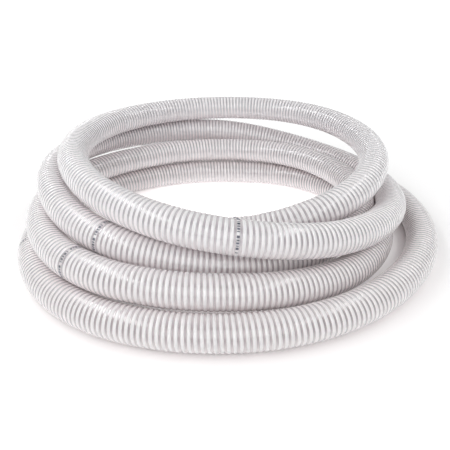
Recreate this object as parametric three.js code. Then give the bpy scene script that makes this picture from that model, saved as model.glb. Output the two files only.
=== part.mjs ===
// A swimming-pool vacuum hose, lying in a loose coil of four and a half turns.
// The hose is one clear soft tube with a hard white helix bonded into its wall. A swivel cuff
// turns on one end and a plain cuff is screwed on the other. Millimetres, +Z up, floor at Z = 0.
import * as THREE from 'three';

// Hose
const HOSE_DIAMETER = 46; // over the helix
const HOSE_SIDES = 12;
const HOSE_STEPS_PER_STATION = 3; // 15 degrees of turn

// Where the turns' common axis stands, seen from above
const COIL_AXIS = new THREE.Vector2(-16.5, -12.7);
const STATION_ANGLE = THREE.MathUtils.degToRad(45);
const FIRST_STATION_ANGLE = THREE.MathUtils.degToRad(-90);

// The centreline's [radius, height] at every eighth of a turn, anticlockwise from above and from
// the top turn down. A row runs right, back right, back, back left, left, front left, front and
// front right. The turns lean on each other, so each row is a different oval.
const TOP_END = [[158, 67], [208, 104]]; // front and front right, coming up from the inner end
const TURNS = [
  [[245, 133], [261, 149], [256, 152], [262, 148], [245, 146], [232, 131], [240, 111], [255, 82]],
  [[278, 67], [276, 71], [257, 101], [283, 105], [280, 115], [260, 91], [228, 63], [216, 52]],
  [[230, 62], [225, 70], [219, 70], [237, 70], [287, 68], [297, 62], [274, 53], [261, 32]],
  [[257, 24], [235, 23], [208, 23], [238, 23], [299, 23], [322, 23], [311, 23], [315, 23]],
];
const BOTTOM_END = [[333, 23], [342, 23], [331, 23]]; // right, back right and back

// Cuffs. Both lie on the floor and face -X.
const CUFF_RADIUS = 28;
const CUFF_SEGMENTS = 32;
const SLEEVE_RADIUS = 23.5; // screws over the hose
const SLEEVE_LENGTH = 36;
const HOSE_END_GAP = 0.5;
const BORE_RADIUS = 19; // the hose's own bore
const SOCKET_RADIUS = 19.2; // takes a 38 mm spigot
const SOCKET_LENGTH = 42;
const NOZZLE_RADIUS = 24.5;
const LIP_RADIUS = 26;
const LIP_LENGTH = 6;
const SLEEVE_GRIP_RINGS = 4;
const SWIVEL_GRIP_RINGS = 3;
const GRIP_PITCH = 7;
const GRIP_DEPTH = 1.2;

// The hose's straight ends, from the cut end inwards
const INNER_END = new THREE.Vector3(-150, -138, CUFF_RADIUS);
const OUTER_END = new THREE.Vector3(-160, 331, CUFF_RADIUS);
const INNER_TAIL = [[0, 0, 0], [40, 0, 0], [58, 0, 1], [98, -4, 12]]; // offsets from INNER_END
const OUTER_TAIL = [[108, 0, -5], [58, 0, -0.5], [40, 0, 0], [0, 0, 0]]; // offsets from OUTER_END

// Swivel, measured along the axis from the hose's cut end
const FLANGE_FACE = 3;
const RUNNING_GAP = 0.4;
const STUB_RADIUS = 23;
const STUB_END = 20.4;
const SEAL_GROOVE = { start: 7.5, end: 10.5, radius: 20.8 };
const SEAL_SECTION_RADIUS = 1;
const SEAL_RADIUS = 22.1;
const RING_GROOVE = { start: 15.2, end: 17.8, radius: 21 };
const RING = { start: 15.5, end: 17.5, inner: 21.3, outer: 25.2 };
const RING_SPLIT = THREE.MathUtils.degToRad(24);
const CHAMBER_RADIUS = 25.6;
const CHAMBER_START = 15;
const CHAMBER_END = 21;

const CLEAR_HOSE = new THREE.MeshStandardMaterial({ color: 0xdedadc, roughness: 0.25, metalness: 0 });
const WHITE_PLASTIC = new THREE.MeshStandardMaterial({ color: 0xe9e9ea, roughness: 0.4, metalness: 0 });
const SOFT_CUFF = new THREE.MeshStandardMaterial({ color: 0xc9c6c8, roughness: 0.6, metalness: 0 });
const BLACK_RUBBER = new THREE.MeshStandardMaterial({ color: 0x1c1c1e, roughness: 0.8, metalness: 0 });

function namedMesh(name, geometry, material) {
  const mesh = new THREE.Mesh(geometry, material);
  mesh.name = name;
  return mesh;
}

function tailPoints(end, offsets) {
  return offsets.map(([x, y, z]) => new THREE.Vector3(x, y, z).add(end));
}

// The turns' centreline, smoothed between the stations
function coilPoints() {
  const stations = [...TOP_END, ...TURNS.flat(), ...BOTTOM_END];
  const shape = new THREE.SplineCurve(stations.map(([radius, height]) => new THREE.Vector2(radius, height)));
  const steps = (stations.length - 1) * HOSE_STEPS_PER_STATION;
  const points = [];
  for (let i = 0; i <= steps; i += 1) {
    const { x: radius, y: height } = shape.getPoint(i / steps);
    const angle = FIRST_STATION_ANGLE + (STATION_ANGLE * i) / HOSE_STEPS_PER_STATION;
    points.push(new THREE.Vector3(radius * Math.cos(angle), radius * Math.sin(angle), height));
  }
  return points;
}

function hoseRoute() {
  const points = [
    ...tailPoints(INNER_END, INNER_TAIL),
    ...coilPoints(),
    ...tailPoints(OUTER_END, OUTER_TAIL),
  ];
  const route = new THREE.CatmullRomCurve3(points, false, 'catmullrom', 0.5);
  // Stepping point by point keeps the facets of neighbouring turns side by side
  route.getUtoTmapping = (u) => u;
  return { route, steps: points.length - 1 };
}

function hose() {
  const { route, steps } = hoseRoute();
  const outline = [];
  for (let i = 0; i < HOSE_SIDES; i += 1) {
    const angle = (2 * Math.PI * i) / HOSE_SIDES;
    outline.push(new THREE.Vector2(Math.cos(angle), Math.sin(angle)).multiplyScalar(HOSE_DIAMETER / 2));
  }
  const geometry = new THREE.ExtrudeGeometry(new THREE.Shape(outline), { steps, extrudePath: route });
  return namedMesh('hose', geometry, CLEAR_HOSE);
}

// A ring-shaped piece from a closed [radius, distance] profile
function turned(name, profile, material) {
  const closed = [...profile, profile[0]];
  const points = closed.map(([radius, along]) => new THREE.Vector2(radius, along));
  return namedMesh(name, new THREE.LatheGeometry(points, CUFF_SEGMENTS), material);
}

// The finger rings that stand round a cuff, from low to high along the axis
function gripProfile(start, rings) {
  const points = [];
  for (let i = 0; i < rings; i += 1) {
    const foot = start + i * GRIP_PITCH;
    points.push([CUFF_RADIUS - GRIP_DEPTH, foot]);
    points.push([CUFF_RADIUS, foot + 1]);
    points.push([CUFF_RADIUS, foot + 3]);
    points.push([CUFF_RADIUS - GRIP_DEPTH, foot + 4]);
  }
  return points;
}

// The nozzle's outside, from the cuff's body to its mouth
function nozzleProfile(start, mouth) {
  return [
    [CUFF_RADIUS - GRIP_DEPTH, start],
    [NOZZLE_RADIUS, start + 8],
    [NOZZLE_RADIUS, mouth - LIP_LENGTH],
    [LIP_RADIUS, mouth - LIP_LENGTH + 2],
    [LIP_RADIUS, mouth],
  ];
}

function fixedCuff() {
  const mouth = HOSE_END_GAP + SOCKET_LENGTH;
  const profile = [
    [SLEEVE_RADIUS, -SLEEVE_LENGTH],
    [CUFF_RADIUS - 2, -SLEEVE_LENGTH],
    ...gripProfile(4 - SLEEVE_LENGTH, SLEEVE_GRIP_RINGS),
    ...nozzleProfile(0, mouth),
    [SOCKET_RADIUS, mouth],
    [SOCKET_RADIUS, HOSE_END_GAP],
    [SLEEVE_RADIUS, HOSE_END_GAP],
  ];
  return turned('fixed_cuff', profile, SOFT_CUFF);
}

function swivelCollar() {
  const profile = [
    [SLEEVE_RADIUS, -SLEEVE_LENGTH],
    [CUFF_RADIUS - 2.5, -SLEEVE_LENGTH],
    [CUFF_RADIUS - 1, -SLEEVE_LENGTH + 3],
    [CUFF_RADIUS - 1, FLANGE_FACE],
    [STUB_RADIUS, FLANGE_FACE],
    [STUB_RADIUS, SEAL_GROOVE.start],
    [SEAL_GROOVE.radius, SEAL_GROOVE.start],
    [SEAL_GROOVE.radius, SEAL_GROOVE.end],
    [STUB_RADIUS, SEAL_GROOVE.end],
    [STUB_RADIUS, RING_GROOVE.start],
    [RING_GROOVE.radius, RING_GROOVE.start],
    [RING_GROOVE.radius, RING_GROOVE.end],
    [STUB_RADIUS, RING_GROOVE.end],
    [STUB_RADIUS - 0.6, STUB_END],
    [BORE_RADIUS, STUB_END],
    [BORE_RADIUS, HOSE_END_GAP],
    [SLEEVE_RADIUS, HOSE_END_GAP],
  ];
  return turned('swivel_collar', profile, WHITE_PLASTIC);
}

function swivelCuff() {
  const rear = FLANGE_FACE + RUNNING_GAP;
  const mouth = CHAMBER_END + SOCKET_LENGTH;
  const profile = [
    [STUB_RADIUS + RUNNING_GAP, rear],
    [CUFF_RADIUS - 2, rear],
    ...gripProfile(rear + 1, SWIVEL_GRIP_RINGS),
    ...nozzleProfile(CHAMBER_END + 3, mouth),
    [SOCKET_RADIUS, mouth],
    [SOCKET_RADIUS, CHAMBER_END],
    [CHAMBER_RADIUS, CHAMBER_END],
    [CHAMBER_RADIUS, CHAMBER_START],
    [STUB_RADIUS + RUNNING_GAP, CHAMBER_START],
  ];
  return turned('swivel_cuff', profile, SOFT_CUFF);
}

function swivelSeal() {
  const geometry = new THREE.TorusGeometry(SEAL_RADIUS, SEAL_SECTION_RADIUS, 8, CUFF_SEGMENTS);
  geometry.rotateX(-Math.PI / 2);
  const seal = namedMesh('swivel_seal', geometry, BLACK_RUBBER);
  seal.position.y = (SEAL_GROOVE.start + SEAL_GROOVE.end) / 2;
  return seal;
}

// A split ring, sprung into its groove
function retainingRing() {
  const outline = new THREE.Shape();
  outline.absarc(0, 0, RING.outer, RING_SPLIT / 2, -RING_SPLIT / 2 + 2 * Math.PI, false);
  outline.absarc(0, 0, RING.inner, -RING_SPLIT / 2 + 2 * Math.PI, RING_SPLIT / 2, true);
  const depth = RING.end - RING.start;
  const geometry = new THREE.ExtrudeGeometry(outline, { depth, bevelEnabled: false, curveSegments: 24 });
  geometry.rotateX(-Math.PI / 2);
  const ring = namedMesh('swivel_retaining_ring', geometry, WHITE_PLASTIC);
  ring.position.y = RING.start;
  return ring;
}

// A group at a cut end of the hose, whose local +Y runs out of the cuff along -X
function hoseEnd(position, pieces) {
  const end = new THREE.Group();
  end.position.copy(position);
  end.rotation.z = Math.PI / 2;
  end.add(...pieces);
  return end;
}

const vacuumHose = new THREE.Group();
vacuumHose.position.set(COIL_AXIS.x, COIL_AXIS.y, 0);
vacuumHose.add(hose());
vacuumHose.add(hoseEnd(INNER_END, [swivelCollar(), swivelSeal(), retainingRing(), swivelCuff()]));
vacuumHose.add(hoseEnd(OUTER_END, [fixedCuff()]));

export default vacuumHose;
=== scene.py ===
"""A pool vacuum hose in a loose coil: clear wall, white helix, print marks, swivel and fixed cuffs."""
import math

import bmesh
import bpy
import numpy as np
from mathutils import Matrix, Vector


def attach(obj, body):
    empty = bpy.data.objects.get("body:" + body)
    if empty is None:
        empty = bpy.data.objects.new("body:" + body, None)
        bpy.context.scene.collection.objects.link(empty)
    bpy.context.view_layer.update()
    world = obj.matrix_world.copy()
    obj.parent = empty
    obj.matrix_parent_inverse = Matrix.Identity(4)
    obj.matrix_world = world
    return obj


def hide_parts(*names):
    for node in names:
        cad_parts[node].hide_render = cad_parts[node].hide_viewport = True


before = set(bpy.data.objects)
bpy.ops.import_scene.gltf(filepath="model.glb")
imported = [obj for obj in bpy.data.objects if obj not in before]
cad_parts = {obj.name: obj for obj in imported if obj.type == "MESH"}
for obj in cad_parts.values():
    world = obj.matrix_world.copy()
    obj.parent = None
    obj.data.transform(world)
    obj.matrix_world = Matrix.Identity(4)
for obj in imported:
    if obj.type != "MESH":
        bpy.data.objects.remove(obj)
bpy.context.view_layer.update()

# ---- driving dimensions, metres ----
HOSE_RADIUS = 0.0230  # over the helix
WALL_RADIUS = 0.0223  # the clear wall between two ribs
BORE_RADIUS = 0.0190
HELIX_PITCH = 0.00687
HELIX_WIDTH = 0.0045
HELIX_ROOT_RADIUS = 0.0200  # how deep the helix sits in the wall

# ---- the route, as in the CAD model ----
COIL_AXIS = np.array([-0.0165, -0.0127, 0.0])  # the middle of the coil, on the floor
CUFF_HEIGHT = 0.028
STATION_ANGLE = math.radians(45)
FIRST_STATION_ANGLE = math.radians(-90)
STEPS_PER_STATION = 3
# the hose's distance from the coil's axis and its height, at each eighth of a turn from the inner end on
TOP_END = [[0.158, 0.067], [0.208, 0.104]]
TURNS = [
    [[0.245, 0.133], [0.261, 0.149], [0.256, 0.152], [0.262, 0.148],
     [0.245, 0.146], [0.232, 0.131], [0.240, 0.111], [0.255, 0.082]],
    [[0.278, 0.067], [0.276, 0.071], [0.257, 0.101], [0.283, 0.105],
     [0.280, 0.115], [0.260, 0.091], [0.228, 0.063], [0.216, 0.052]],
    [[0.230, 0.062], [0.225, 0.070], [0.219, 0.070], [0.237, 0.070],
     [0.287, 0.068], [0.297, 0.062], [0.274, 0.053], [0.261, 0.032]],
    [[0.257, 0.024], [0.235, 0.023], [0.208, 0.023], [0.238, 0.023],
     [0.299, 0.023], [0.322, 0.023], [0.311, 0.023], [0.315, 0.023]],
]
BOTTOM_END = [[0.333, 0.023], [0.342, 0.023], [0.331, 0.023]]
# the straight tails that lead to the cuffs: where each ends from the coil's axis, and its points from there
INNER_END = np.array([-0.150, -0.138, CUFF_HEIGHT])
OUTER_END = np.array([-0.160, 0.331, CUFF_HEIGHT])
INNER_TAIL = [[0, 0, 0], [0.040, 0, 0], [0.058, 0, 0.001], [0.098, -0.004, 0.012]]
OUTER_TAIL = [[0.108, 0, -0.005], [0.058, 0, -0.0005], [0.040, 0, 0], [0, 0, 0]]


def catmull_rom(points, steps):
    """A smooth line through points, with that many steps from each to the next."""
    points = np.asarray(points, float)
    first = 2 * points[0] - points[1]
    last = 2 * points[-1] - points[-2]
    padded = np.vstack([first, points, last])
    line = []
    for i in range(1, len(padded) - 2):
        a, b, c, d = padded[i - 1:i + 3]
        for k in range(steps):
            t = k / steps
            bend = 2 * a - 5 * b + 4 * c - d + t * (3 * b - a - 3 * c + d)
            line.append(b + 0.5 * t * (c - a + t * bend))
    line.append(padded[-2])
    return np.array(line)


def coil_points():
    """The turns' centreline every 15 degrees. The first and last stations repeat, as in the CAD model."""
    stations = np.array(TOP_END + sum(TURNS, []) + BOTTOM_END)
    padded = np.vstack([stations[:1], stations, stations[-1:]])
    inner = catmull_rom(padded, STEPS_PER_STATION)[STEPS_PER_STATION:-STEPS_PER_STATION]
    angles = FIRST_STATION_ANGLE + STATION_ANGLE * np.arange(len(inner)) / STEPS_PER_STATION
    radius, height = inner.T
    return np.stack([radius * np.cos(angles), radius * np.sin(angles), height], 1)


ROUTE_POINTS = COIL_AXIS + np.vstack([INNER_END + INNER_TAIL, coil_points(), OUTER_END + OUTER_TAIL])


class Centreline:
    """The hose's centreline with a frame that doesn't twist, read by the distance along it."""

    def __init__(self, points, steps=40):
        self.line = catmull_rom(points, steps)
        lengths = np.linalg.norm(np.diff(self.line, axis=0), axis=1)
        self.along = np.concatenate([[0], np.cumsum(lengths)])
        self.length = float(self.along[-1])
        self.tangents = np.gradient(self.line, self.along, axis=0)
        self.tangents /= np.linalg.norm(self.tangents, axis=1)[:, None]
        self.normals = self.without_twist(np.array([0.0, 0.0, 1.0]))

    def without_twist(self, start):
        """start carried along the line, square to it and never turning about it."""
        normals = [start - start.dot(self.tangents[0]) * self.tangents[0]]
        for tangent in self.tangents[1:]:
            normal = normals[-1] - normals[-1].dot(tangent) * tangent
            normals.append(normal / np.linalg.norm(normal))
        return np.array(normals)

    def at(self, along):
        """The centre and the two cross axes at each distance."""
        along = np.asarray(along, float)
        centre, tangent, normal = (
            np.stack([np.interp(along, self.along, values[:, k]) for k in range(3)], -1)
            for values in (self.line, self.tangents, self.normals)
        )
        tangent /= np.linalg.norm(tangent, axis=-1, keepdims=True)
        normal -= (normal * tangent).sum(-1, keepdims=True) * tangent
        normal /= np.linalg.norm(normal, axis=-1, keepdims=True)
        return centre, normal, np.cross(tangent, normal)


def signed_volume(mesh):
    """Six times a mesh's volume, positive when its faces look outward."""
    mesh.calc_loop_triangles()
    places = np.empty(3 * len(mesh.vertices), np.float32)
    mesh.vertices.foreach_get("co", places)
    corners = np.empty(3 * len(mesh.loop_triangles), np.int32)
    mesh.loop_triangles.foreach_get("vertices", corners)
    a, b, c = places.reshape(-1, 3)[corners].astype(float).reshape(-1, 3, 3).transpose(1, 0, 2)
    return float((a * np.cross(b, c)).sum())


def mesh_object(name, vertices, faces, material, smooth=True):
    """A mesh object from vertex places and quads. All of its faces turn over if they look inward."""
    mesh = bpy.data.meshes.new(name)
    faces = np.asarray(faces)
    corners = faces.shape[1]
    mesh.vertices.add(len(vertices))
    mesh.vertices.foreach_set("co", np.asarray(vertices, np.float32).ravel())
    mesh.loops.add(faces.size)
    mesh.loops.foreach_set("vertex_index", faces.ravel().astype(np.int32))
    mesh.polygons.add(len(faces))
    mesh.polygons.foreach_set("loop_start", (np.arange(len(faces)) * corners).astype(np.int32))
    mesh.update(calc_edges=True)
    if signed_volume(mesh) < 0:
        mesh.flip_normals()
    mesh.validate()
    mesh.polygons.foreach_set("use_smooth", np.full(len(faces), smooth))
    mesh.materials.append(material)
    piece = bpy.data.objects.new(name, mesh)
    bpy.context.scene.collection.objects.link(piece)
    return piece


def grid_faces(rows, columns, close_rows=False):
    """Quads between a grid's neighbours, numbered row by row. Each row closes on itself."""
    i = np.arange(rows if close_rows else rows - 1)
    j = np.arange(columns)
    i, j = np.meshgrid(i, j, indexing="ij")
    down, right = (i + 1) % rows, (j + 1) % columns
    quads = np.stack([i * columns + j, i * columns + right, down * columns + right, down * columns + j], -1)
    return quads.reshape(-1, 4)


# ---- materials ----
# painted shade for the wall's upward faces and painted light for its downward ones, in warm and cool copies;
# the pale colour is also the wall's milky tone
WALL_PAINTED_SHADE = (0.315, 0.266, 0.280)
WALL_MILKY_PAINTED_LIGHT = (0.740, 0.685, 0.697)
WALL_PAINTED_SHADE_COOL = (0.335, 0.312, 0.336)
WALL_MILKY_PAINTED_LIGHT_COOL = (0.740, 0.700, 0.725)
WALL_ALPHA = 0.86
# how far the crown is painted paler: a painted sheen in place of its reflection
PAINTED_CROWN_SHEEN = 0.4
HELIX_WARM = (0.940, 0.822, 0.828)
HELIX_COOL = (0.930, 0.838, 0.858)
HELIX_GRIMY = (0.875, 0.775, 0.765)
SOFT_CUFF = ((0.56, 0.55, 0.56), (0.62, 0.61, 0.62))  # the mottling's two colours, here and below
WHITE_PLASTIC = ((0.74, 0.74, 0.75), (0.80, 0.80, 0.80))
BLACK_RUBBER = ((0.018, 0.018, 0.019), (0.035, 0.035, 0.036))
PRINT_INK = ((0.035, 0.035, 0.060), (0.10, 0.10, 0.14))
WARM_BELOW = 0.04  # heights in the coil between which warm colours turn cool
COOL_ABOVE = 0.15


def new_material(name):
    material = bpy.data.materials.new(name)
    material.use_nodes = True
    return material, material.node_tree, material.node_tree.nodes["Principled BSDF"]


def wired(tree, kind, inputs=(), **values):
    """A node with these links into its named inputs and these values."""
    node = tree.nodes.new(kind)
    for name, value in values.items():
        setattr(node, name, value)
    for name, source in dict(inputs).items():
        if isinstance(source, bpy.types.NodeSocket):
            tree.links.new(source, node.inputs[name])
        else:
            node.inputs[name].default_value = source
    return node


def noise(tree, scale, detail=3.0):
    """A noise value in the object's own space."""
    place = wired(tree, "ShaderNodeTexCoord").outputs["Object"]
    inputs = {"Vector": place, "Scale": scale, "Detail": detail}
    return wired(tree, "ShaderNodeTexNoise", inputs).outputs["Fac"]


def spread(tree, value, low, high, to_low, to_high):
    """value, taken from low..high to to_low..to_high."""
    limits = {"Value": value, "From Min": low, "From Max": high, "To Min": to_low, "To Max": to_high}
    return wired(tree, "ShaderNodeMapRange", limits).outputs["Result"]


def blend(tree, share, one, other):
    """Colour one where share is 0 and other where it is 1. Each is a colour or a socket."""
    node = wired(tree, "ShaderNodeMix", data_type="RGBA")
    tree.links.new(share, node.inputs["Factor"])
    for name, colour in (("A", one), ("B", other)):
        socket = next(x for x in node.inputs if x.name == name and x.type == "RGBA")
        if isinstance(colour, bpy.types.NodeSocket):
            tree.links.new(colour, socket)
        else:
            socket.default_value = (*colour, 1)
    return next(x for x in node.outputs if x.type == "RGBA")


def cool_share(tree):
    """0 low in the coil and 1 high in it, even between."""
    place = wired(tree, "ShaderNodeTexCoord").outputs["Object"]
    height = wired(tree, "ShaderNodeSeparateXYZ", {"Vector": place}).outputs["Z"]
    return spread(tree, height, WARM_BELOW, COOL_ABOVE, 0, 1)


def bump(tree, shader, height, strength, distance):
    node = wired(tree, "ShaderNodeBump", {"Height": height, "Strength": strength, "Distance": distance})
    tree.links.new(node.outputs["Normal"], shader.inputs["Normal"])


def glossy(shader):
    """PVC's own shine with a smooth skin over it."""
    shader.inputs["IOR"].default_value = 1.53
    shader.inputs["Coat Weight"].default_value = 0.9
    shader.inputs["Coat Roughness"].default_value = 0.12
    shader.inputs["Coat IOR"].default_value = 1.5


def clear_wall_material():
    """Milky clear PVC, with painted shade on its top and painted light underneath for the dim and the lit
    inside seen through it, and a painted sheen along its top.
    """
    material, tree, shader = new_material("clear_wall")
    up = wired(tree, "ShaderNodeNewGeometry").outputs["Normal"]
    up = wired(tree, "ShaderNodeSeparateXYZ", {"Vector": up}).outputs["Z"]
    # painted shade where the wall faces up, painted light where it faces down
    painted_shade_share = spread(tree, up, -0.5, 0.3, 0, 1)
    lower = blend(tree, painted_shade_share, WALL_MILKY_PAINTED_LIGHT, WALL_PAINTED_SHADE)
    upper = blend(tree, painted_shade_share, WALL_MILKY_PAINTED_LIGHT_COOL, WALL_PAINTED_SHADE_COOL)
    cooled = blend(tree, cool_share(tree), lower, upper)
    # a painted sheen along the crown, where the wall faces straight up
    with_painted_sheen = blend(tree, spread(tree, up, 0.8, 1.0, 0.0, PAINTED_CROWN_SHEEN), cooled, WALL_MILKY_PAINTED_LIGHT)
    cloud = spread(tree, noise(tree, scale=14.0), 0.35, 0.65, 0.0, 0.12)
    tree.links.new(blend(tree, cloud, with_painted_sheen, WALL_MILKY_PAINTED_LIGHT), shader.inputs["Base Color"])
    scuffs = spread(tree, noise(tree, scale=160.0, detail=5.0), 0.4, 0.7, 0.14, 0.24)
    tree.links.new(scuffs, shader.inputs["Roughness"])
    glossy(shader)
    shader.inputs["Specular IOR Level"].default_value = 0.9
    shader.inputs["Alpha"].default_value = WALL_ALPHA
    bump(tree, shader, noise(tree, scale=260.0), strength=0.2, distance=0.0001)
    return material


def helix_material():
    """Rigid white PVC, a little warmer low in the coil than high in it, with random patches of grime."""
    material, tree, shader = new_material("white_helix")
    clean = blend(tree, cool_share(tree), HELIX_WARM, HELIX_COOL)
    grime = spread(tree, noise(tree, scale=11.0, detail=4.0), 0.5, 0.75, 0.0, 0.3)
    tree.links.new(blend(tree, grime, clean, HELIX_GRIMY), shader.inputs["Base Color"])
    scuffs = spread(tree, noise(tree, scale=120.0, detail=5.0), 0.4, 0.7, 0.2, 0.34)
    tree.links.new(scuffs, shader.inputs["Roughness"])
    glossy(shader)
    shader.inputs["Subsurface Weight"].default_value = 1.0
    shader.inputs["Subsurface Radius"].default_value = (1.0, 0.96, 0.94)
    shader.inputs["Subsurface Scale"].default_value = 0.012
    bump(tree, shader, noise(tree, scale=320.0), strength=0.2, distance=0.0001)
    return material


def moulded_material(name, low, high, roughness, grain):
    """A moulded or rubber piece: mottled colour, uneven gloss and a fine grain in its skin."""
    material, tree, shader = new_material(name)
    share = spread(tree, noise(tree, scale=45.0), 0.35, 0.65, 0, 1)
    tree.links.new(blend(tree, share, low, high), shader.inputs["Base Color"])
    gloss = spread(tree, noise(tree, scale=90.0, detail=4.0), 0.35, 0.7, roughness, roughness + 0.15)
    tree.links.new(gloss, shader.inputs["Roughness"])
    bump(tree, shader, noise(tree, scale=900.0, detail=4.0), strength=0.35, distance=grain)
    return material


# ---- camera ----
CAMERA_DISTANCE = 0.6882  # in front of the coil's middle
CAMERA_HEIGHT = 0.3618
CAMERA_DIP = math.radians(27.8)
LENS = 34.4  # millimetres, like the sensor's width
SENSOR = 36.0


def add_camera():
    data = bpy.data.cameras.new("camera")
    data.lens = LENS
    data.sensor_width = SENSOR
    data.clip_start = 0.01
    camera = bpy.data.objects.new("camera", data)
    camera.location = (COIL_AXIS[0], COIL_AXIS[1] - CAMERA_DISTANCE, CAMERA_HEIGHT)
    camera.rotation_euler = (math.radians(90) - CAMERA_DIP, 0, 0)
    bpy.context.scene.collection.objects.link(camera)
    bpy.context.scene.camera = camera


# ---- the hose ----
WALL_SIDES = 40
WALL_STEP = 0.012
HELIX_SEGMENTS = 36  # for each rib
RIB_CROWN_DROP = 0.00008  # below the crown's middle, about half way out
RIB_SHOULDER_DROP = 0.00045  # below the crown's middle, near the edge
RIB_SIDE_DROP = 0.0006  # below the shoulder, at the edge
PATH_STEP = 0.02  # between the points that the cord's path is given by


def hose_wall(centreline, material):
    """The clear tube, outside and bore, with its two cut ends."""
    rings = int(centreline.length / WALL_STEP) + 1
    along = np.linspace(0, centreline.length, rings)
    centre, up, side = centreline.at(along)
    turn = 2 * np.pi * np.arange(WALL_SIDES) / WALL_SIDES
    out = up[:, None] * np.cos(turn)[None, :, None] + side[:, None] * np.sin(turn)[None, :, None]
    outside = centre[:, None] + WALL_RADIUS * out
    bore = centre[:, None] + BORE_RADIUS * out
    sheet = np.concatenate([outside, bore[::-1]])
    faces = grid_faces(2 * rings, WALL_SIDES, close_rows=True)
    return mesh_object("hose_wall", sheet.reshape(-1, 3), faces, material)


def helix_section():
    """The rib's outline as (along, radius) offsets, round on top."""
    half = HELIX_WIDTH / 2
    shoulder = HOSE_RADIUS - RIB_SHOULDER_DROP
    near = [
        (half * 0.55, HOSE_RADIUS - RIB_CROWN_DROP),
        (half * 0.92, shoulder),
        (half, shoulder - RIB_SIDE_DROP),
        (half, HELIX_ROOT_RADIUS),
    ]
    far = [(-along, radius) for along, radius in reversed(near)]
    return np.array([*far, (0, HOSE_RADIUS), *near])


def helix_length(centreline, name, start, end, material):
    """The right-hand helix between two distances along the hose, closed at both ends."""
    ribs = (end - start) / HELIX_PITCH
    stops = int(round(ribs * HELIX_SEGMENTS)) + 1
    along = np.linspace(start, end, stops)
    turn = 2 * np.pi * along / HELIX_PITCH
    section = helix_section()
    spots = along[:, None] + section[None, :, 0]
    centre, up, side = centreline.at(np.clip(spots, 0, centreline.length))
    out = up * np.cos(turn)[:, None, None] + side * np.sin(turn)[:, None, None]
    points = centre + section[None, :, 1, None] * out
    faces = grid_faces(stops, len(section))
    helix = mesh_object(name, points.reshape(-1, 3), faces, material)
    close_ends(helix)
    return helix


# ---- the print, one line of marks along a rib, again and again down the hose ----
PRINT_EVERY = 1.512
FIRST_PRINT = 0.182
PRINT_START = math.radians(-38)  # from straight up, towards the outside of the coil
PRINT_END = math.radians(122)
PRINT_HEIGHT = 0.0032
PRINT_THICKNESS = 0.00006
PRINT_EDGE_DROP = 0.00012  # how much lower a bar's edge lies than its middle
PRINT_ROOT = 0.0004  # how far a bar's underside lies below the rib's crown
MARK_LENGTHS = (0.0022, 0.0012, 0.0030, 0.0016)
MARK_GAP = 0.0017
WORD_GAP = 0.0042
MARKS_IN_A_WORD = 5
BAR_RINGS = 4
BAR_POINTS = 6  # on each ring
BAR_CAP = np.array([[0, 1, 4, 5], [1, 2, 3, 4]])


def print_line(centreline, name, along, material):
    """Plain ink bars on the rib nearest to along, in the place of the maker's text."""
    rib = round(along / HELIX_PITCH)
    sheets, faces, count = [], [], 0
    turn, mark = PRINT_START, 0
    while turn < PRINT_END:
        end = turn + MARK_LENGTHS[mark % len(MARK_LENGTHS)] / HOSE_RADIUS
        sheets.append(bar_shell(centreline, rib, np.linspace(turn, end, BAR_RINGS)).reshape(-1, 3))
        last_ring = count + (BAR_RINGS - 1) * BAR_POINTS
        faces += [count + grid_faces(BAR_RINGS, BAR_POINTS), count + BAR_CAP[:, ::-1], last_ring + BAR_CAP]
        count += BAR_RINGS * BAR_POINTS
        mark += 1
        turn = end + (WORD_GAP if mark % MARKS_IN_A_WORD == 0 else MARK_GAP) / HOSE_RADIUS
    return mesh_object(name, np.vstack(sheets), np.vstack(faces), material, smooth=False)


def bar_shell(centreline, rib, turns):
    """One bar's rings: three points over the rib's crown and three inside the rib."""
    half = PRINT_HEIGHT / 2
    edge = PRINT_THICKNESS - PRINT_EDGE_DROP
    offsets = np.array([-half, 0, half, half, 0, -half])
    radii = HOSE_RADIUS + np.array([edge, PRINT_THICKNESS, edge, -PRINT_ROOT, -PRINT_ROOT, -PRINT_ROOT])
    along = (rib + turns / (2 * np.pi)) * HELIX_PITCH
    centre, up, side = centreline.at(along[:, None] + offsets[None])
    out = up * np.cos(turns)[:, None, None] + side * np.sin(turns)[:, None, None]
    return centre + radii[None, :, None] * out


# ---- the cuffs and the swivel, turned about the hose's straight ends ----
CUFF_RADIUS = 0.0280
SLEEVE_RADIUS = 0.0235
SLEEVE_LENGTH = 0.0360
HOSE_END_GAP = 0.0005
SOCKET_RADIUS = 0.0192
SOCKET_LENGTH = 0.0420
NOZZLE_RADIUS = 0.0245
LIP_RADIUS = 0.0260
LIP_LENGTH = 0.0060
LIP_SLOPE = 0.0020
NOZZLE_TAPER = 0.0080
CUFF_STEP = 0.0020  # how much thinner a cuff's rear edge is
SLEEVE_GRIP_RINGS = 4
SWIVEL_GRIP_RINGS = 3
GRIP_PITCH = 0.0070
GRIP_DEPTH = 0.0012
GRIP_SLOPE = 0.0010
GRIP_WIDTH = 0.0040
SLEEVE_GRIP_START = 0.0040
SWIVEL_GRIP_START = 0.0010
COLLAR_RADIUS = 0.0270
COLLAR_BEVEL = 0.0015
COLLAR_BEVEL_LENGTH = 0.0030
FLANGE_FACE = 0.0030
RUNNING_GAP = 0.0004
STUB_RADIUS = 0.0230
STUB_END = 0.0204
STUB_LEAD = 0.0006  # how much thinner the stub's end is
SEAL_GROOVE = (0.0075, 0.0105, 0.0208)  # start, end and radius
SEAL_SECTION_RADIUS = 0.0010
SEAL_RADIUS = 0.0221
SEAL_SIDES = 20
RING_GROOVE = (0.0152, 0.0178, 0.0210)
RING = (0.0155, 0.0175, 0.0213, 0.0252)  # start, end, inner and outer radius
RING_SPLIT = math.radians(24)
CHAMBER_RADIUS = 0.0256
CHAMBER_START = 0.0150
CHAMBER_END = 0.0210
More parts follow.
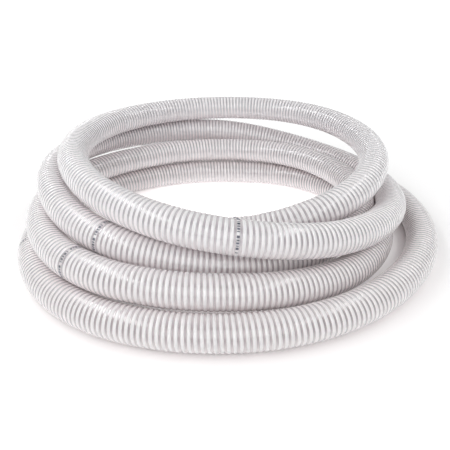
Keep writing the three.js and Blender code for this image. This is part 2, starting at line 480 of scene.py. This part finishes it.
SWIVEL_NOZZLE_START = 0.0030  # after the chamber's end
FIXED_CORNER = 0.0007  # the corners' rounding
SWIVEL_CORNER = 0.0005
FINE_CORNER = 0.0003
SEGMENTS = 128


def rounded(profile, radius, steps=4):
    """A closed outline with its corners rounded."""
    points = np.array(profile, float)
    result = []
    for i, corner in enumerate(points):
        before, after = points[i - 1] - corner, points[(i + 1) % len(points)] - corner
        reach = min(radius, 0.45 * np.linalg.norm(before), 0.45 * np.linalg.norm(after))
        start = corner + reach * before / np.linalg.norm(before)
        end = corner + reach * after / np.linalg.norm(after)
        for t in np.linspace(0, 1, steps):
            result.append((1 - t) ** 2 * start + 2 * t * (1 - t) * corner + t * t * end)
    return np.array(result)


def turned(name, end, outline, material, gap=0.0):
    """A closed (radius, distance) outline turned about the hose end's axis, which leaves along -X.
    With a gap it is a split ring."""
    outline = np.asarray(outline)
    if gap:
        turn = np.linspace(gap / 2, 2 * np.pi - gap / 2, SEGMENTS)
    else:
        turn = 2 * np.pi * np.arange(SEGMENTS) / SEGMENTS
    radius, along = outline.T
    points = np.empty((len(turn), len(outline), 3))
    points[..., 0] = end[0] - along[None]
    points[..., 1] = end[1] + radius[None] * np.cos(turn)[:, None]
    points[..., 2] = end[2] + radius[None] * np.sin(turn)[:, None]
    faces = grid_faces(len(turn), len(outline), close_rows=not gap)
    piece = mesh_object(name, points.reshape(-1, 3), faces, material)
    if gap:
        close_ends(piece)
    return piece


def close_ends(piece):
    """Fills a mesh's open ends."""
    filled = bmesh.new()
    filled.from_mesh(piece.data)
    rims = [edge for edge in filled.edges if edge.is_boundary]
    bmesh.ops.holes_fill(filled, edges=rims, sides=0)
    filled.to_mesh(piece.data)
    filled.free()


def grip_outline(start, rings):
    """Raised rings for the hand, one after another from start."""
    outline = []
    for i in range(rings):
        foot = start + i * GRIP_PITCH
        outline += [
            (CUFF_RADIUS - GRIP_DEPTH, foot),
            (CUFF_RADIUS, foot + GRIP_SLOPE),
            (CUFF_RADIUS, foot + GRIP_WIDTH - GRIP_SLOPE),
            (CUFF_RADIUS - GRIP_DEPTH, foot + GRIP_WIDTH),
        ]
    return outline


def nozzle_outline(start, mouth):
    """From the grip down to the nozzle and out to the lip around the mouth."""
    return [
        (CUFF_RADIUS - GRIP_DEPTH, start),
        (NOZZLE_RADIUS, start + NOZZLE_TAPER),
        (NOZZLE_RADIUS, mouth - LIP_LENGTH),
        (LIP_RADIUS, mouth - LIP_LENGTH + LIP_SLOPE),
        (LIP_RADIUS, mouth),
    ]


def fixed_cuff(end, material):
    """A sleeve over the hose's end, then a nozzle with a socket for a spigot."""
    mouth = HOSE_END_GAP + SOCKET_LENGTH
    outline = [
        (SLEEVE_RADIUS, -SLEEVE_LENGTH),
        (CUFF_RADIUS - CUFF_STEP, -SLEEVE_LENGTH),
        *grip_outline(SLEEVE_GRIP_START - SLEEVE_LENGTH, SLEEVE_GRIP_RINGS),
        *nozzle_outline(0, mouth),
        (SOCKET_RADIUS, mouth),
        (SOCKET_RADIUS, HOSE_END_GAP),
        (SLEEVE_RADIUS, HOSE_END_GAP),
    ]
    return turned("fixed_cuff_body", end, rounded(outline, FIXED_CORNER), material)


def swivel_collar(end, material):
    """A sleeve over the hose's end, then a stub with grooves for the seal and the retaining ring."""
    outline = [
        (SLEEVE_RADIUS, -SLEEVE_LENGTH),
        (COLLAR_RADIUS - COLLAR_BEVEL, -SLEEVE_LENGTH),
        (COLLAR_RADIUS, COLLAR_BEVEL_LENGTH - SLEEVE_LENGTH),
        (COLLAR_RADIUS, FLANGE_FACE),
        (STUB_RADIUS, FLANGE_FACE),
        *groove_outline(SEAL_GROOVE),
        *groove_outline(RING_GROOVE),
        (STUB_RADIUS - STUB_LEAD, STUB_END),
        (BORE_RADIUS, STUB_END),
        (BORE_RADIUS, HOSE_END_GAP),
        (SLEEVE_RADIUS, HOSE_END_GAP),
    ]
    return turned("swivel_collar_body", end, rounded(outline, FINE_CORNER), material)


def groove_outline(groove):
    start, end, radius = groove
    return [(STUB_RADIUS, start), (radius, start), (radius, end), (STUB_RADIUS, end)]


def swivel_cuff(end, material):
    """Turns on the collar's stub. Its chamber holds the retaining ring, and its nozzle has a socket."""
    rear = FLANGE_FACE + RUNNING_GAP
    mouth = CHAMBER_END + SOCKET_LENGTH
    outline = [
        (STUB_RADIUS + RUNNING_GAP, rear),
        (CUFF_RADIUS - CUFF_STEP, rear),
        *grip_outline(rear + SWIVEL_GRIP_START, SWIVEL_GRIP_RINGS),
        *nozzle_outline(CHAMBER_END + SWIVEL_NOZZLE_START, mouth),
        (SOCKET_RADIUS, mouth),
        (SOCKET_RADIUS, CHAMBER_END),
        (CHAMBER_RADIUS, CHAMBER_END),
        (CHAMBER_RADIUS, CHAMBER_START),
        (STUB_RADIUS + RUNNING_GAP, CHAMBER_START),
    ]
    return turned("swivel_cuff_body", end, rounded(outline, SWIVEL_CORNER), material)


def swivel_seal(end, material):
    middle = (SEAL_GROOVE[0] + SEAL_GROOVE[1]) / 2
    turn = 2 * np.pi * np.arange(SEAL_SIDES) / SEAL_SIDES
    radius = SEAL_RADIUS + SEAL_SECTION_RADIUS * np.cos(turn)
    along = middle + SEAL_SECTION_RADIUS * np.sin(turn)
    return turned("swivel_seal_ring", end, np.stack([radius, along], 1), material)


def retaining_ring(end, material):
    """The split ring in the collar's second groove, which keeps the cuff on."""
    start, stop, inner, outer = RING
    outline = [(inner, start), (outer, start), (outer, stop), (inner, stop)]
    return turned("swivel_split_ring", end, rounded(outline, FINE_CORNER), material, gap=RING_SPLIT)


# ---- the whole hose ----
HELIX_LENGTHS = 4  # one helix, kept as four lengths
HELIX_END_GAP = 0.003


def assigned(piece, body):
    """piece, riding on body."""
    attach(piece, body)
    return piece


def helix_pieces(centreline, material):
    stops = np.linspace(HELIX_END_GAP, centreline.length - HELIX_END_GAP, HELIX_LENGTHS + 1)
    for i, (start, end) in enumerate(zip(stops, stops[1:])):
        helix = helix_length(centreline, f"helix_{i + 1}", start, end, material)
        yield assigned(helix, "coil")


def print_lines(centreline, material):
    for i, along in enumerate(np.arange(FIRST_PRINT, centreline.length - SLEEVE_LENGTH, PRINT_EVERY)):
        yield assigned(print_line(centreline, f"print_{i + 1}", along, material), "coil")


def make_hose():
    centreline = Centreline(ROUTE_POINTS)
    inner_end, outer_end = centreline.line[0], centreline.line[-1]
    soft = moulded_material("soft_cuff", *SOFT_CUFF, roughness=0.42, grain=0.0002)
    white = moulded_material("white_plastic", *WHITE_PLASTIC, roughness=0.28, grain=0.0001)
    rubber = moulded_material("black_rubber", *BLACK_RUBBER, roughness=0.55, grain=0.0001)
    ink = moulded_material("print_ink", *PRINT_INK, roughness=0.5, grain=0.00005)

    wall = assigned(hose_wall(centreline, clear_wall_material()), "coil")
    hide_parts("hose")
    helix = list(helix_pieces(centreline, helix_material()))
    prints = list(print_lines(centreline, ink))
    fixed = assigned(fixed_cuff(outer_end, soft), "coil")
    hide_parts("fixed_cuff")
    collar = assigned(swivel_collar(inner_end, white), "coil")
    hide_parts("swivel_collar")
    cuff = assigned(swivel_cuff(inner_end, soft), "swivel_cuff")
    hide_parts("swivel_cuff")
    seal = assigned(swivel_seal(inner_end, rubber), "coil")
    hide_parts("swivel_seal")
    ring = assigned(retaining_ring(inner_end, white), "coil")
    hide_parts("swivel_retaining_ring")

    path = centreline.at(np.append(np.arange(0, centreline.length, PATH_STEP), centreline.length))[0]
    tuple(inner_end)


add_camera()
make_hose()


# ---- stage ----
FLOOR_COLOUR = (0.87, 0.87, 0.87)
FAR_GLOW = 0.95  # the floor glows away from the coil, where the softboxes no longer reach
GLOW_FROM = 0.40
GLOW_TO = 2.2
MIDDLE_GLOW = 0.4  # and in the middle of the coil, which shades it
MIDDLE_RADIUS = 0.20
MIDDLE_FADE = 0.30
WORLD_LIGHT = 0.57
FLOOR_SIZE = 200
BESIDE = 0.3  # a light further than this from the middle in X stands beside the coil


def add_floor():
    bpy.ops.mesh.primitive_plane_add(size=FLOOR_SIZE)
    floor = bpy.context.object
    floor.name = "floor"
    material, tree, shader = new_material("floor")
    shader.inputs["Base Color"].default_value = (*FLOOR_COLOUR, 1)
    shader.inputs["Roughness"].default_value = 0.9
    shader.inputs["Specular IOR Level"].default_value = 0.0
    shader.inputs["Emission Color"].default_value = (1, 1, 1, 1)
    place = wired(tree, "ShaderNodeTexCoord").outputs["Object"]
    away = wired(tree, "ShaderNodeVectorMath", {"Vector": place}, operation="LENGTH").outputs["Value"]
    far = spread(tree, away, GLOW_FROM, GLOW_TO, 0.0, FAR_GLOW)
    middle = spread(tree, away, MIDDLE_RADIUS, MIDDLE_FADE, MIDDLE_GLOW, 0.0)
    both = wired(tree, "ShaderNodeMath", operation="ADD")
    tree.links.new(far, both.inputs[0])
    tree.links.new(middle, both.inputs[1])
    tree.links.new(both.outputs["Value"], shader.inputs["Emission Strength"])
    floor.data.materials.append(material)


def add_softbox(name, place, size, brightness):
    """A rectangular soft light that faces the coil. A light at one side lies with its long side along Y."""
    light = bpy.data.lights.new(name, "AREA")
    light.shape = "RECTANGLE"
    light.size, light.size_y = size
    light.energy = brightness * math.pi * size[0] * size[1]
    lamp = bpy.data.objects.new(name, light)
    lamp.location = place
    facing = Vector((0, 0, 0)) - Vector(place)
    across = Vector((0, 1, 0)) if abs(place[0]) > BESIDE else Vector((1, 0, 0))
    back = -facing.normalized()
    up = back.cross(across).normalized()
    across = up.cross(back)
    lamp.rotation_euler = Matrix((across, up, back)).transposed().to_euler()
    bpy.context.scene.collection.objects.link(lamp)


def add_world():
    world = bpy.data.worlds.new("studio")
    bpy.context.scene.world = world
    world.use_nodes = True
    background = world.node_tree.nodes["Background"]
    background.inputs["Color"].default_value = (1, 1, 1, 1)
    background.inputs["Strength"].default_value = WORLD_LIGHT


add_floor()
add_world()
add_softbox("left_softbox", (-0.95, -0.15, 1.45), (2.2, 0.30), 6.6)
add_softbox("right_softbox", (0.95, -0.15, 1.45), (2.2, 0.22), 4.4)
add_softbox("front_softbox", (0, -1.6, 1.7), (1.6, 0.4), 1.6)
add_softbox("front_fill", (0, -2.6, 1.3), (3.4, 1.8), 1.75)
bpy.context.scene.view_settings.view_transform = "Standard"
